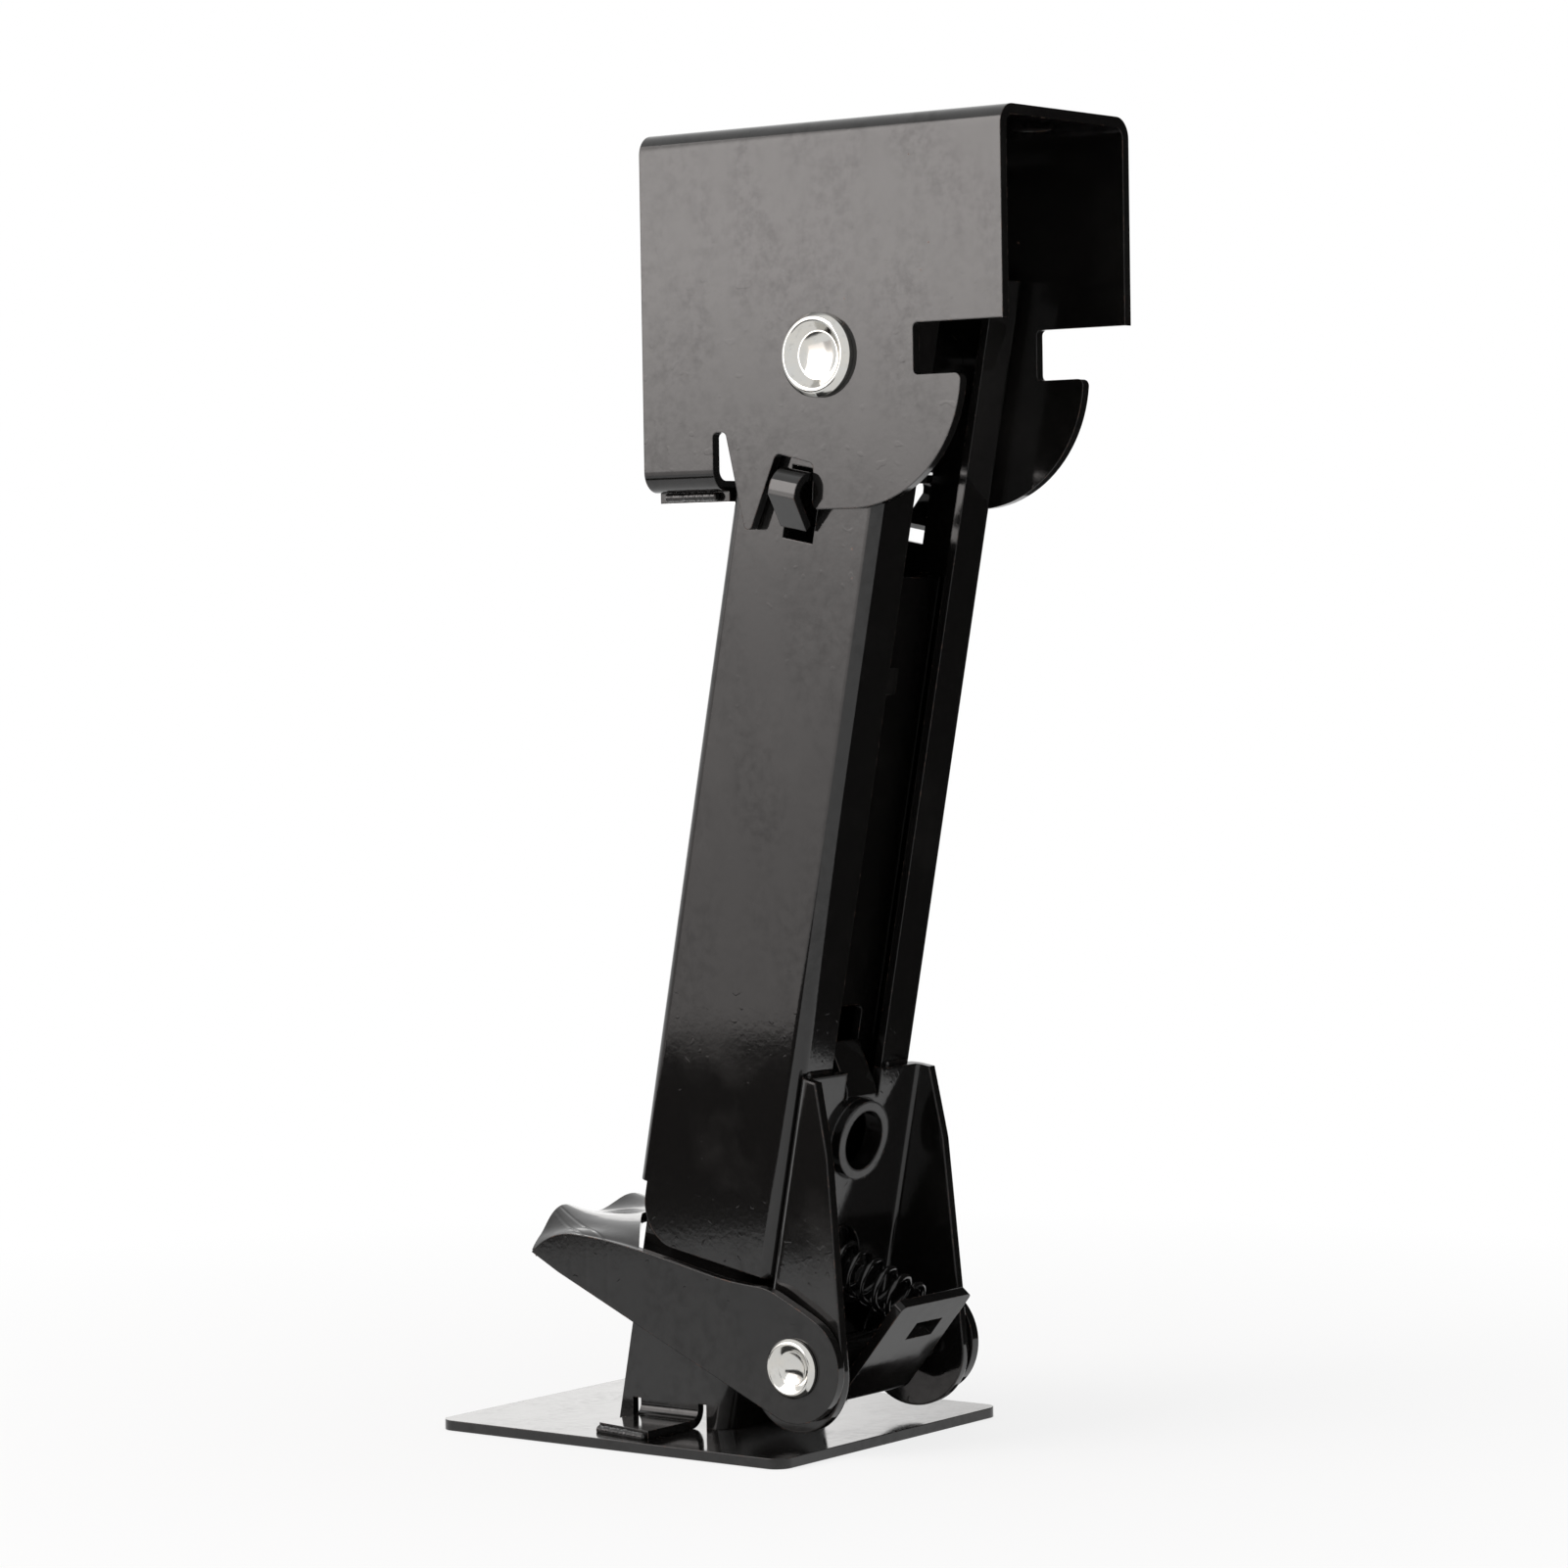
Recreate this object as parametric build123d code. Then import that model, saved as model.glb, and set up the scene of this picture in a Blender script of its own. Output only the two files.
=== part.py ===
from build123d import *
import os
from math import acos, atan, atan2, cos, degrees, hypot, radians, sin, tan

# A drop-leg stabilizer jack: a folded steel mounting bracket, an outer leg that hangs from it on a
# rivet, an inner leg that slides in the outer one, a foot plate, a foot pedal with its pawl and
# return spring, and a spring latch that holds the leg up or down.
# Millimetres. X runs the way the leg folds up, Y across the jack, Z up. The origin is the centre
# of the foot plate's underside. Leg features are drawn about the pivot and then leaned over:
# there x runs across the leg, towards the pedal's pivot, and z runs up it. A name with below,
# above, ahead or behind in it is measured from the pivot unless its comment says otherwise.

# Foot plate
foot_length = 128.0
foot_width = 108.0
foot_thickness = 3.0
foot_corner = 5.0

# Mounting bracket
bracket_behind = 64.0
bracket_length = 127.0
bracket_width = 64.0
bracket_above = 66.3
bracket_sheet = 3.0
bracket_bend = 3.0
bolt_pitch_x = 84.0
bolt_pitch_y = 30.0
bolt_hole = 10.4
cheek_round = 37.6
cheek_round_ahead = 11.0
cheek_round_below = 5.8
cheek_corner = 2.0
cheek_small_corner = 1.5
stow_notch_start = 32.6
stow_notch_height = 14.5
stow_notch_above = 0.3
flange_length = 25.4
flange_drop = 37.2
fold_rise = 9.0
fold_setback = 4.5
step_length = 4.6
step_below = 20.6
tooth_behind = 26.8
tooth_below = 51.8
latch_notch_behind = 15.9
latch_notch_front = 2.6
latch_notch_back_below = 27.1
latch_notch_front_below = 30.5
latch_notch_flare = 0.8
weld_margin = 3.0

# Leg pivot: the leg's line through it meets the ground foot_offset ahead of the plate's centre
foot_offset = 5.55
lean = 11.1
pivot_shank = 12.0
pivot_head = 24.0
pivot_head_height = 3.5
pivot_spacer_wall = 3.0
washer_diameter = 27.0

# Outer leg
outer_depth = 53.0
outer_behind = 27.5
outer_sheet = 2.5
outer_bend = 1.5
outer_above = 27.0
outer_below = 264.5
outer_web_short = 17.0
lip_gap = 24.0
side_clearance = 1.0
heel_round = 13.0

# Inner leg
inner_sheet = 2.5
inner_bend = 3.0
inner_front_clearance = 7.5
inner_side_clearance = 0.7
inner_back_clearance = 1.0
inner_top = 61.0
slot_width = 25.0
slot_height = 13.0
slot_corner = 2.5
slot_above_nose = 10.9
slot_pitch = 22.0
slot_count = 5
leg_travel = 100.0
stop_tab_reach = 4.5
stop_tab_width = 6.0
stop_tab_height = 8.0
stop_tab_aside = 3.0

# Inner leg's feet: bent out from its walls, with a notch at each end of the bend. They reach
# behind and ahead of the point where the leg's line meets the ground.
toe_behind = 15.55
toe_ahead = 5.95
toe_reach = 46.2
toe_notch_width = 3.0
toe_notch_top = 10.0

# Carrier bracket: rise and drop are from the outer leg's lower end
carrier_sheet = 3.0
carrier_bend = 1.5
carrier_rise = 60.5
carrier_drop = 10.5
carrier_overhang = 1.0
collar_down = 20.0
collar_bore = 17.6
collar_wall = 3.0
collar_height = 3.2
tongue_width = 14.0
tongue_rise = 6.0
tongue_relief = 1.5
tongue_relief_depth = 8.0
tongue_bend = 4.0
tongue_stand_off = 2.7
stop_gap = 0.5
ear_flare = 4.0
ear_lobe = 17.5
ear_lobe_back = 2.0
ear_lobe_drop = 2.4
ear_top_width = 2.5
ear_shoulder_out = 10.6
ear_shoulder_down = 19.5
ear_shoulder_round = 25.0
ear_edge_turn = 16.2
bead_length = 20.0

# Pedal, pawl and their rivet: the pin's drop is from the outer leg's lower end
pin_ahead = 42.8
pin_drop = 20.4
pin_height = 25.39
pin_shank = 9.0
pin_head = 17.2
pin_head_height = 2.0
pedal_sheet = 3.0
pedal_lobe = 16.0
pedal_reach = 97.1
pedal_rise = 33.1
pedal_clearance = 0.45
tread_bow = 3.4
tread_cut = 26.5
tread_cut_round = 10.0
barrel_wall = 2.0
barrel_end_gap = 0.5
pawl_sheet = 3.0
pawl_bend = 4.0
pawl_corner = 2.0
pawl_width = 34.0
pawl_nose_width = 20.0
pawl_nose_height = 6.0
pawl_nose_length = 16.0
pawl_lean = 28.4
pawl_rise = 30.0
pawl_bend_down = 8.6
pawl_window_up = 18.2
pawl_window_aside = 3.15
pawl_window_width = 12.5
pawl_window_height = 6.5
nose_down = 8.5
nose_clearance = 0.3

# Pawl spring and the flanged peg that it sits on
spring_outer = 14.4
spring_wire = 2.0
spring_pitch = 5.2
spring_at = 23.5
spring_up = 24.7
spring_hole = 19.0
peg_flange = 23.0
peg_flange_thickness = 2.0
peg_diameter = 8.0
peg_length = 12.0
peg_chamfer = 1.2
wire_sides = 8

# Latch
latch_sheet = 2.5
latch_back = 6.1
latch_front = 3.2
latch_below = 33.0
latch_travel = 17.0
latch_reach = 37.5
latch_bend = 5.0
latch_shoulder = 5.9
latch_tab = 8.9
latch_tab_gap = 0.5
latch_clearance = 0.8
latch_spring_outer = 8.2
latch_spring_wire = 1.2
latch_spring_pitch = 2.2

# Fits
running_fit = 0.1
riveted_fit = 0.05
seat_gap = 0.2
weld_size = 3.0
overshoot = 1.0

# A pedal arm seen from the side: each point is how far back from the pin and how far above it,
# as parts of pedal_reach and pedal_rise
arm_tip_ratio = (1.0, 0.807)
arm_bulge_ratio = (0.945, 0.927)
arm_crown_ratio = (0.833, 1.0)
arm_top_ratios = [(0.659, 0.949), (0.40, 0.80), (0.172, 0.688), (0.09, 0.659), (0.027, 0.58), (-0.036, 0.492)]
arm_heel_ratio = (0.896, 0.647)
arm_meet_angle = 57.4
arm_flange_ratio = 0.577

# The tread's upper face: each row is how far back from the pin and the heights above it, as parts
# of pedal_reach and pedal_rise, at these parts of the way from the middle to an arm
tread_across_ratios = [0, 0.213, 0.471, 0.593, 0.729, 0.866, 1.0]
tread_row_ratios = [
    (1.040, [1.054, 1.097, 1.178, 1.160, 1.057, 0.912, 0.770]),
    (0.937, [1.069, 1.082, 1.112, 1.106, 1.063, 0.997, 0.921]),
    (0.834, [1.088, 1.088, 1.088, 1.082, 1.057, 1.027, 0.985]),
    (0.700, [1.094, 1.091, 1.082, 1.069, 1.042, 1.006, 0.955]),
    (0.545, [1.094, 1.088, 1.069, 1.051, 1.012, 0.957, 0.880]),
]

# Places and sizes that follow from the ones above
pin_below = outer_below + pin_drop
pivot_z = pin_height + pin_ahead * sin(radians(lean)) + pin_below * cos(radians(lean))
pivot_x = foot_offset + pivot_z * tan(radians(lean))
pin_x = pivot_x + pin_ahead * cos(radians(lean)) - pin_below * sin(radians(lean))
pin_z = pin_height
carrier_top = outer_below - carrier_rise
carrier_web_bottom = outer_below + carrier_drop
collar_below = carrier_top + collar_down
spring_below = pin_below - spring_up
nose_below = pin_below + nose_down
toe_back = foot_offset - toe_behind
toe_front = foot_offset + toe_ahead
bracket_left = pivot_x - bracket_behind
bracket_right = bracket_left + bracket_length
bracket_top = pivot_z + bracket_above
half_bracket = bracket_width / 2
cheek_inside = half_bracket - bracket_sheet
half_outer = cheek_inside - side_clearance
outer_front = outer_depth - outer_behind
inner_front = outer_front - outer_sheet - inner_front_clearance
half_inner = half_outer - outer_sheet - inner_side_clearance
inner_back = outer_behind - outer_sheet - inner_back_clearance
half_carrier = half_outer + carrier_overhang
ear_inside = half_carrier - carrier_sheet
carrier_middle = outer_front + carrier_sheet / 2
carrier_face = outer_front + carrier_sheet
ear_out = (pin_ahead + ear_lobe - ear_lobe_back - carrier_middle) * tan(radians(ear_flare))
arm_inside = half_carrier + ear_out + pedal_clearance
arm_outside = arm_inside + pedal_sheet
barrel_radius = pin_shank / 2 + running_fit + barrel_wall
stow_notch_left = pivot_x + stow_notch_start
stow_notch_top = pivot_z + stow_notch_height / 2 + stow_notch_above
stow_notch_bottom = stow_notch_top - stow_notch_height
cheek_round_x = pivot_x + cheek_round_ahead
cheek_round_z = pivot_z - cheek_round_below
cheek_bottom = cheek_round_z - cheek_round
flange_bottom = pivot_z - flange_drop
fold_reach = cheek_inside - fold_setback


def on_leg(shape):
    """Turn a shape drawn about the pivot to the leg's lean and hang it on the pivot."""
    return Pos(pivot_x, 0, pivot_z) * Rot(0, lean, 0) * shape


def slab(face, y_low, y_high):
    """Extrude a face drawn in x and z from y_low to y_high."""
    return Pos(0, y_high, 0) * extrude(Plane.XZ * face, amount=y_high - y_low)


def both_sides(shape):
    """A shape drawn on the far side of the jack's middle, with its mirror image on the near side."""
    return shape + mirror(shape, about=Plane.XZ)


def bent_sheet(points, radius, sheet):
    """The section of a sheet bent along a line of points that its middle follows."""
    return trace(FilletPolyline(*points, radius=radius), line_width=sheet)


def rounded(face, corner, radius):
    """Round the corner of a face that lies nearest to a point."""
    vertex = face.vertices().sort_by_distance((corner[0], corner[1], 0))[0]
    return fillet(vertex, radius)


def across(x, z, radius, half_length):
    """A round bar along Y, for pins and the holes they pass through."""
    return Pos(x, 0, z) * Rot(90, 0, 0) * Cylinder(radius, 2 * half_length)


def rivet(shank, head, rim, half_grip):
    """A tubular rivet along Y, each head with a raised rim and a cone that falls to a flat middle."""
    side = [
        (0, half_grip + 0.35 * rim),
        (0.16 * head, half_grip + 0.45 * rim),
        (0.27 * head, half_grip + rim),
        (0.40 * head, half_grip + 0.95 * rim),
        (0.5 * head, half_grip + 0.5 * rim),
        (0.5 * head, half_grip),
        (shank / 2, half_grip),
    ]
    other = [(x, -z) for x, z in reversed(side)]
    profile = Plane.XZ * make_face(Polyline(*side, *other, close=True))
    return Rot(90, 0, 0) * revolve(profile, Axis.Z)


def cheek_face():
    """The outline of a bracket cheek: its stow notch, round lobe, latch notch and pointed tooth."""
    flange_end = bracket_left + flange_length
    step = pivot_z - step_below
    lobe_start_x = pivot_x - latch_notch_front - latch_notch_flare
    corners = [
        (bracket_left, bracket_top),
        (bracket_left, flange_bottom + fold_rise),
        (flange_end, flange_bottom + fold_rise),
        (flange_end, step),
        (flange_end + step_length, step),
        (pivot_x - tooth_behind, pivot_z - tooth_below),
        (pivot_x - latch_notch_behind, pivot_z - latch_notch_back_below),
        (pivot_x - latch_notch_front, pivot_z - latch_notch_front_below),
        (lobe_start_x, cheek_bottom),
        (cheek_round_x, cheek_bottom),
    ]
    lobe_end_x = cheek_round_x + cheek_round * cos(atan((stow_notch_bottom - cheek_round_z) / cheek_round))
    lobe_end = (lobe_end_x, stow_notch_bottom)
    lobe_middle = (
        cheek_round_x + cheek_round * cos(radians(45)),
        cheek_round_z - cheek_round * sin(radians(45)),
    )
    rest = [
        lobe_end,
        (stow_notch_left, stow_notch_bottom),
        (stow_notch_left, stow_notch_top),
        (bracket_right, stow_notch_top),
        (bracket_right, bracket_top),
        (bracket_left, bracket_top),
    ]
    edges = Polyline(*corners) + ThreePointArc(corners[-1], lobe_middle, lobe_end) + Polyline(*rest)
    face = make_face(edges)
    for corner in corners[3:6] + rest[1:3]:
        face = rounded(face, corner, cheek_small_corner)
    for corner in corners[6:9] + rest[:1]:
        face = rounded(face, corner, cheek_corner)
    return face


def flange_fold(side, height):
    """The strip under one cheek's lower corner, folded in to close the bracket's floor."""
    middle = half_bracket - bracket_sheet / 2
    z = height + bracket_sheet / 2
    start = flange_bottom + fold_rise + bracket_sheet
    points = [(side * middle, start), (side * middle, z), (-side * fold_reach, z)]
    section = bent_sheet(points, bracket_bend + bracket_sheet / 2, bracket_sheet)
    return Pos(bracket_left, 0, 0) * extrude(Plane.YZ * section, amount=flange_length)


def mounting_bracket():
    """One folded sheet: a top web for the bolts, two cheeks and a lapped floor behind the leg."""
    middle = half_bracket - bracket_sheet / 2
    web = bracket_top - bracket_sheet / 2
    low = cheek_bottom - tooth_below
    points = [(-middle, low), (-middle, web), (middle, web), (middle, low)]
    section = bent_sheet(points, bracket_bend + bracket_sheet / 2, bracket_sheet)
    folded = Pos(bracket_left, 0, 0) * extrude(Plane.YZ * section, amount=bracket_length)
    body = folded & slab(cheek_face(), -half_bracket - overshoot, half_bracket + overshoot)
    body += flange_fold(-1, flange_bottom)
    body += flange_fold(1, flange_bottom - bracket_sheet)
    centre = bracket_left + bracket_length / 2
    for x, y in ((-1, -1), (-1, 1), (1, -1), (1, 1)):
        place = Pos(centre + x * bolt_pitch_x / 2, y * bolt_pitch_y / 2, web)
        body -= place * Cylinder(bolt_hole / 2, 3 * bracket_sheet)
    return body - across(pivot_x, pivot_z, pivot_shank / 2 + riveted_fit, bracket_width)


def flange_weld():
    """The bead that joins the lapped floor's lower fold to the upper one."""
    bead = Rot(0, 90, 0) * Cylinder(weld_size / 2, flange_length - 2 * weld_margin)
    middle_x = bracket_left + flange_length / 2
    place = Pos(middle_x, -fold_reach - weld_size / 2, flange_bottom - weld_size / 2)
    below = Pos(middle_x, 0, flange_bottom - weld_size) * Box(flange_length, bracket_width, 2 * weld_size)
    return place * bead & below


def pivot_rivet():
    """The rivet that the leg swings on."""
    return Pos(pivot_x, 0, pivot_z) * rivet(pivot_shank, pivot_head, pivot_head_height, half_bracket)


def pivot_washers():
    """A thin washer on each side of the leg, inside the cheeks."""
    thick = side_clearance - seat_gap
    ring = Cylinder(washer_diameter / 2, thick) - Cylinder(pivot_shank / 2 + running_fit, 2 * thick)
    ring = Rot(90, 0, 0) * ring
    y = cheek_inside - seat_gap / 2 - thick / 2
    return [Pos(pivot_x, -y, pivot_z) * ring, Pos(pivot_x, y, pivot_z) * ring]


def pivot_spacer():
    """The tube on the rivet that keeps the leg's walls apart."""
    half = half_outer - outer_sheet
    bore = pivot_shank / 2 + running_fit
    tube = across(0, 0, bore + pivot_spacer_wall, half) - across(0, 0, bore, half + overshoot)
    return on_leg(tube)


def outer_side():
    """The outer leg seen from the side: short back web, rounded heel and rounded top."""
    step = -outer_behind + outer_sheet + outer_bend
    web_end = outer_web_short - outer_below
    points = [
        (-outer_behind - overshoot, outer_above),
        (outer_front + overshoot, outer_above),
        (outer_front + overshoot, -outer_below),
        (step, -outer_below),
        (step, web_end),
        (-outer_behind - overshoot, web_end),
    ]
    face = make_face(Polyline(*points, close=True))
    return rounded(face, points[3], heel_round)


def outer_leg():
    """The lipped channel that hangs from the pivot, open towards the pedal's pivot."""
    half = half_outer - outer_sheet / 2
    front = outer_front - outer_sheet / 2
    back = -outer_behind + outer_sheet / 2
    points = [
        (front, -lip_gap / 2),
        (front, -half),
        (back, -half),
        (back, half),
        (front, half),
        (front, lip_gap / 2),
    ]
    section = bent_sheet(points, outer_bend + outer_sheet / 2, outer_sheet)
    channel = Pos(0, 0, -outer_below) * extrude(section, amount=outer_below + outer_above)
    channel = channel & slab(outer_side(), -half_outer - overshoot, half_outer + overshoot)
    channel -= across(0, 0, pivot_shank / 2 + running_fit, half_outer + overshoot)
    slot_top = -latch_below + latch_clearance
    slot_bottom = -latch_below - latch_sheet - latch_travel - latch_clearance
    slot_length = latch_back + latch_front + 2 * latch_clearance
    slot_x = (latch_front - latch_back) / 2
    window = Pos(slot_x, 0, (slot_top + slot_bottom) / 2)
    window *= Box(slot_length, 3 * half_outer, slot_top - slot_bottom)
    return on_leg(channel - window)


def inner_leg_channel():
    """The sliding channel in leg places, with the pawl's slots and the tab that ends its travel."""
    half = half_inner - inner_sheet / 2
    front = inner_front - inner_sheet / 2
    points = [(-inner_back, -half), (front, -half), (front, half), (-inner_back, half)]
    section = bent_sheet(points, inner_bend + inner_sheet / 2, inner_sheet)
    length = pivot_z / cos(radians(lean))
    channel = Pos(0, 0, -inner_top - length) * extrude(section, amount=length)
    slot = extrude(RectangleRounded(slot_height, slot_width, slot_corner), amount=2 * inner_sheet, both=True)
    for number in range(slot_count):
        z = slot_above_nose - nose_below + number * slot_pitch
        channel -= Pos(front, 0, z) * Rot(0, 90, 0) * slot
    tab_bottom = tongue_rise + carrier_sheet - carrier_top + leg_travel + stop_gap
    tab = Box(stop_tab_reach + inner_sheet, stop_tab_width, stop_tab_height)
    tab_x = inner_front + (stop_tab_reach - inner_sheet) / 2
    return channel + Pos(tab_x, -stop_tab_aside, tab_bottom + stop_tab_height / 2) * tab


def toe_edge():
    """The middle and direction of a foot's free edge, which is cut square to the leaning leg."""
    return ((toe_back + toe_front) / 2, toe_reach), (cos(radians(lean)), sin(radians(lean)))


def toe():
    """The far foot, bent out from the inner leg's wall onto the plate."""
    half = half_inner - inner_sheet / 2
    z = foot_thickness + inner_sheet / 2
    line = [(half, toe_notch_top), (half, z), (2 * toe_reach, z)]
    section = bent_sheet(line, inner_bend + inner_sheet / 2, inner_sheet)
    strip = Pos(toe_back, 0, 0) * extrude(Plane.YZ * section, amount=toe_front - toe_back)
    (x, y), (run, rise) = toe_edge()
    back = y - (x - toe_back) * rise / run
    front = y + (toe_front - x) * rise / run
    outline = Polyline((toe_back, 0), (toe_front, 0), (toe_front, front), (toe_back, back), close=True)
    return strip & extrude(make_face(outline), amount=2 * toe_notch_top)


def inner_leg():
    """The sliding channel cut level above the plate, with its two feet."""
    high = 2 * bracket_top
    leg = on_leg(inner_leg_channel()) & Pos(0, 0, foot_thickness + high / 2) * Box(high, high, high)
    width = toe_front - toe_back + 2 * toe_notch_width
    notch = Box(width, 2 * inner_sheet, toe_notch_top)
    leg -= both_sides(Pos((toe_back + toe_front) / 2, half_inner, toe_notch_top / 2) * notch)
    return leg + both_sides(toe())


def foot_plate():
    """The flat plate that the jack stands on."""
    outline = RectangleRounded(foot_length, foot_width, foot_corner)
    return extrude(outline, amount=foot_thickness)


def foot_welds():
    """A fillet weld along the free edge of each foot."""
    (x, y), (run, rise) = toe_edge()
    edge = Plane(origin=(x, y, foot_thickness), x_dir=(-rise, run, 0), z_dir=(run, rise, 0))
    corner = edge * make_face(Polyline((0, 0), (weld_size, 0), (0, inner_sheet), close=True))
    bead = extrude(corner, amount=(toe_front - toe_back) / 2 - overshoot, both=True)
    return [bead, mirror(bead, about=Plane.XZ)]


def ear_face():
    """The outline of a carrier ear: a long free edge that runs into a round lobe about the pin."""
    root = carrier_face + carrier_bend
    heel = outer_front + side_clearance
    lobe = (pin_ahead - ear_lobe_back, -pin_below - ear_lobe_drop)
    turn = radians(ear_edge_turn)
    shoulder = (root + ear_shoulder_out, -carrier_top - ear_shoulder_down)
    points = [
        (root, -carrier_top),
        (root + ear_top_width, -carrier_top),
        shoulder,
        (lobe[0] + ear_lobe * cos(turn), lobe[1] + ear_lobe * sin(turn)),
        lobe,
        (heel, lobe[1]),
        (heel, -carrier_web_bottom),
        (root, -carrier_web_bottom),
    ]
    blank = rounded(make_face(Polyline(*points, close=True)), shoulder, ear_shoulder_round)
    return blank + Pos(*lobe) * Circle(ear_lobe)


def carrier():
    """The bracket welded on the lips: flat web, flanged hole, inward tongue and two flared ears."""
    half = half_carrier - carrier_sheet / 2
    flare = tan(radians(ear_flare))
    reach = carrier_face + carrier_bend + overshoot
    end = half + (reach - carrier_middle) * flare
    points = [(reach, -end), (carrier_middle, -half), (carrier_middle, half), (reach, end)]
    section = bent_sheet(points, carrier_bend + carrier_sheet / 2, carrier_sheet)
    body = Pos(0, 0, -carrier_web_bottom) * extrude(section, amount=carrier_web_bottom - carrier_top)
    hinge = Pos(carrier_middle, half, 0)
    flat = Pos(-carrier_middle, -half, 0) * slab(ear_face(), ear_inside, half_carrier)
    body += both_sides(hinge * Rot(0, 0, ear_flare) * flat)
    collar_reach = carrier_sheet + collar_height
    to_collar = Pos(outer_front + collar_reach / 2, 0, -collar_below) * Rot(0, 90, 0)
    body += to_collar * Cylinder(collar_bore / 2 + collar_wall, collar_reach)
    body -= to_collar * Cylinder(collar_bore / 2, 3 * collar_reach)
    to_hole = Pos(carrier_middle, 0, -spring_below) * Rot(0, 90, 0)
    body -= to_hole * Cylinder(spring_hole / 2, 3 * carrier_sheet)
    relief = Box(3 * carrier_sheet, tongue_width + 2 * tongue_relief, 2 * tongue_relief_depth)
    body -= Pos(carrier_middle, 0, -carrier_top) * relief
    bent = [
        (carrier_middle, -carrier_top - tongue_relief_depth - tongue_relief),
        (carrier_middle, -carrier_top - tongue_rise),
        (inner_front + tongue_stand_off, -carrier_top + tongue_rise),
    ]
    body += slab(bent_sheet(bent, tongue_bend, carrier_sheet), -tongue_width / 2, tongue_width / 2)
    body -= across(pin_ahead, -pin_below, pin_shank / 2 + riveted_fit, 2 * half_carrier)
    return on_leg(body)


def carrier_welds():
    """The two beads between the top edge of the carrier's web and the leg's lips."""
    bead = Rot(90, 0, 0) * Cylinder(weld_size / 2, bead_length / 2)
    y = (lip_gap / 2 + half_outer) / 2 - overshoot
    outside = Pos(outer_front + weld_size, 0, -carrier_top + weld_size)
    outside *= Box(2 * weld_size, 2 * half_outer, 2 * weld_size)
    return [on_leg(Pos(outer_front, side * y, -carrier_top) * bead & outside) for side in (-1, 1)]


def pin_rivet():
    """The rivet that carries the pedal and the pawl."""
    grip = arm_outside + seat_gap
    return Pos(pin_x, 0, pin_z) * rivet(pin_shank, pin_head, pin_head_height, grip)


def from_pin(point):
    """A point in x and z from the parts of the pedal's reach and rise that it lies from the pin."""
    return (pin_x - point[0] * pedal_reach, pin_z + point[1] * pedal_rise)


def arm_face():
    """The outline of a pedal arm, from its lifted tip down to the lobe about the pin."""
    heel_back = arm_heel_ratio[0] * pedal_reach
    heel_up = arm_heel_ratio[1] * pedal_rise
    meet_angle = radians(arm_meet_angle)
    leave_angle = atan2(heel_up, -heel_back) + acos(pedal_lobe / hypot(heel_back, heel_up))
    meet = (pin_x + pedal_lobe * cos(meet_angle), pin_z + pedal_lobe * sin(meet_angle))
    leave = (pin_x + pedal_lobe * cos(leave_angle), pin_z + pedal_lobe * sin(leave_angle))
    edges = ThreePointArc(from_pin(arm_tip_ratio), from_pin(arm_bulge_ratio), from_pin(arm_crown_ratio))
    edges += Spline(from_pin(arm_crown_ratio), *[from_pin(point) for point in arm_top_ratios], meet)
    edges += ThreePointArc(meet, (pin_x + pedal_lobe, pin_z), leave)
    edges += Polyline(leave, from_pin(arm_heel_ratio), from_pin(arm_tip_ratio))
    return make_face(edges)


def tread_outline():
    """The tread seen from above: a bowed front edge and a cut that keeps clear of the leg."""
    front = pin_x - pedal_reach
    arm_end = pin_x - arm_flange_ratio * pedal_reach
    vertex = (arm_end - tread_cut, 0)
    edges = ThreePointArc((front, arm_outside), (front - tread_bow, 0), (front, -arm_outside))
    edges += Polyline(
        (front, -arm_outside),
        (arm_end, -arm_outside),
        vertex,
        (arm_end, arm_outside),
        (front, arm_outside),
    )
    return rounded(make_face(edges), vertex, tread_cut_round)


def tread():
    """The sheet pressed into two humps that joins the arms' far ends."""
    edge = (arm_inside + arm_outside) / 2
    rows = []
    for back, heights in tread_row_ratios:
        x = pin_x - back * pedal_reach
        far = []
        for across_ratio, height in zip(tread_across_ratios, heights):
            far.append(Vector(x, across_ratio * edge, pin_z + height * pedal_rise - pedal_sheet / 2))
        near = [Vector(x, -point.Y, point.Z) for point in reversed(far[1:])]
        rows.append(near + far)
    middle = Face.make_surface_from_array_of_points(rows, tol=0.02)
    sheet = thicken(middle, amount=pedal_sheet / 2, both=True)
    return sheet & extrude(tread_outline(), amount=2 * (pin_z + 2 * pedal_rise), both=True)


def pedal():
    """Two arms outside the leg, joined at the far end by the tread."""
    arms = both_sides(slab(arm_face(), arm_inside, arm_outside))
    return arms + tread() - across(pin_x, pin_z, pin_shank / 2 + running_fit, 2 * arm_outside)


def pawl_point(along, off):
    """A point on the pawl, measured up its face from the pin and out from the pin."""
    lean_x = sin(radians(pawl_lean))
    lean_z = cos(radians(pawl_lean))
    return (pin_ahead + off * lean_z + along * lean_x, -pin_below - off * lean_x + along * lean_z)


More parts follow.
